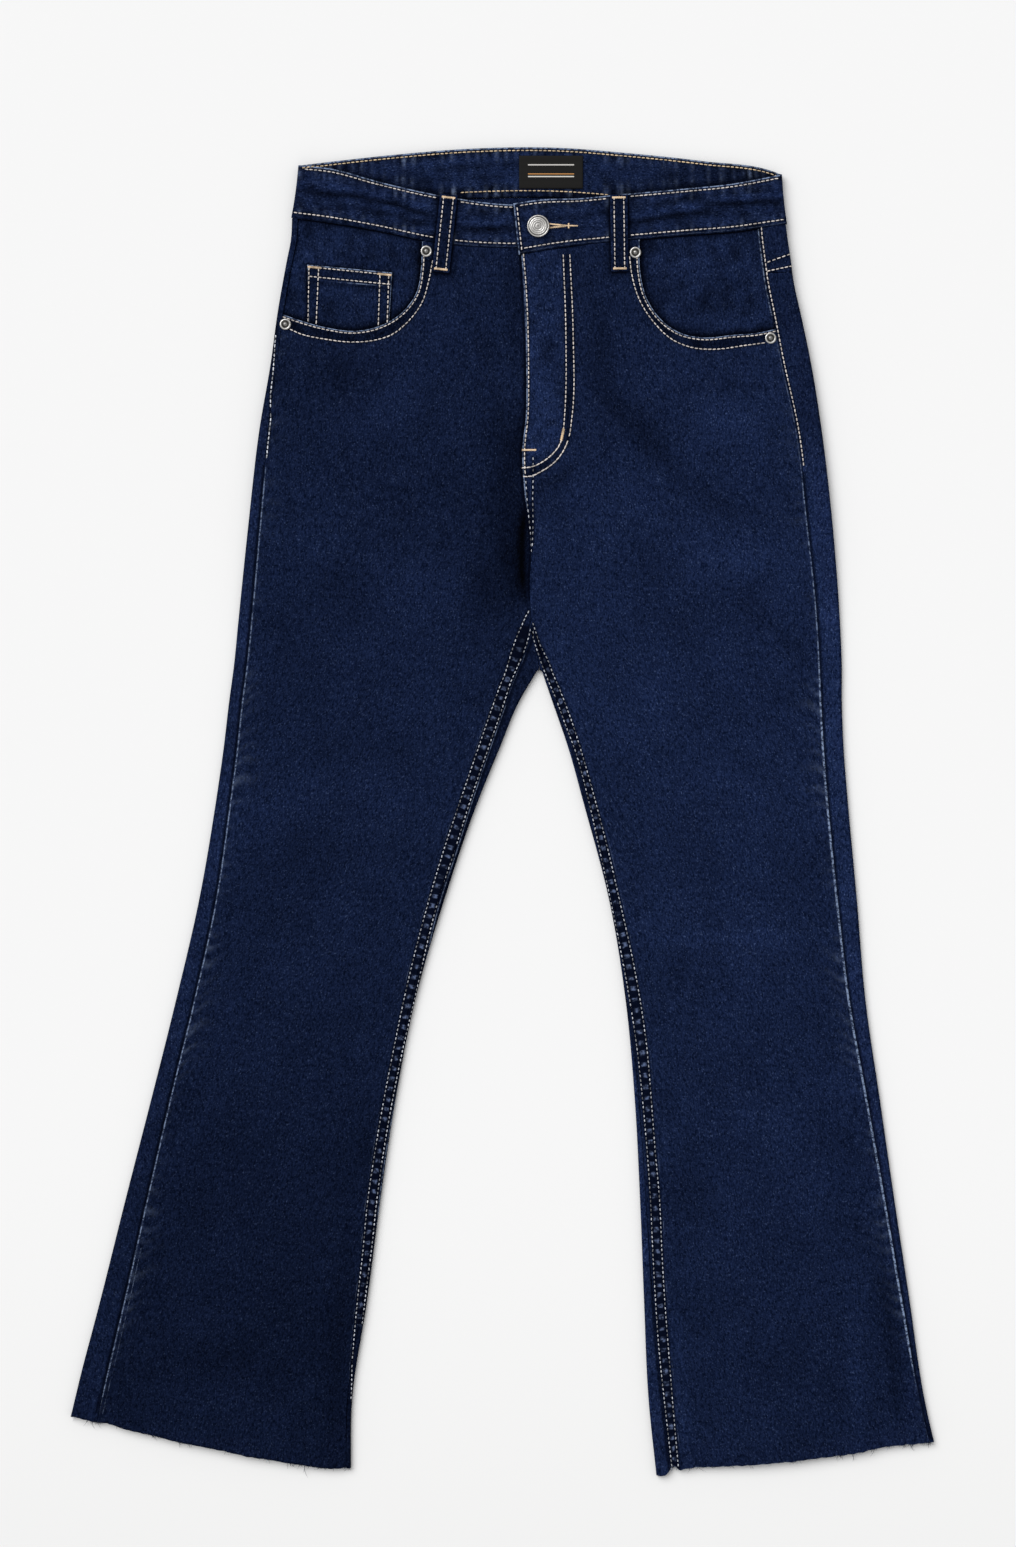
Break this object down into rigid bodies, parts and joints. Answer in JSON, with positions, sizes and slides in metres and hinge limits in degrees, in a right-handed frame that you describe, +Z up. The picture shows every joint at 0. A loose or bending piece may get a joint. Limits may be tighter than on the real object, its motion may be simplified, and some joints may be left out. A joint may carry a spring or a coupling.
{
  "type": "cropped bootcut jeans",
  "caption": "Cropped bootcut denim trousers laid flat, front up, with buttoned waistband, fly, scoop and coin pockets, belt loops, rivets and raw hems.",
  "frame": {"origin": "on the surface that the jeans lie on, under the middle of their outline", "axes": "+X across to the wearer's left, +Y from the hems to the waist, +Z up, out of the front of the jeans"},
  "size_m": [0.657, 1.01, 0.0129],
  "materials": {
    "denim": "dark indigo stretch denim twill with fine pale slub and pale worn edges",
    "thread": "ecru and pale orange topstitching thread",
    "zip_tape": "dark woven zip tape",
    "woven_label": "matt black woven label",
    "pewter": "pewter-toned pressed metal, softly worn"
  },
  "bodies": {
    "root": {"front_panel_right": "denim", "front_panel_left": "denim", "back_panel_right": "denim", "back_panel_left": "denim", "yoke_right": "denim", "yoke_left": "denim", "waistband": "denim", "pocket_facing_right": "denim", "pocket_facing_left": "denim", "coin_pocket": "denim", "back_pocket_right": "denim", "back_pocket_left": "denim", "fly_shield": "denim", "fly_zip": "zip_tape", "belt_loop_front_right": "denim", "belt_loop_front_left": "denim", "belt_loop_back_right": "denim", "belt_loop_back_centre": "denim", "belt_loop_back_left": "denim", "waist_label": "woven_label", "button": "pewter", "rivet_right_waist": "pewter", "rivet_right_side": "pewter", "rivet_left_waist": "pewter", "rivet_left_side": "pewter"}
  },
  "joints": []
}
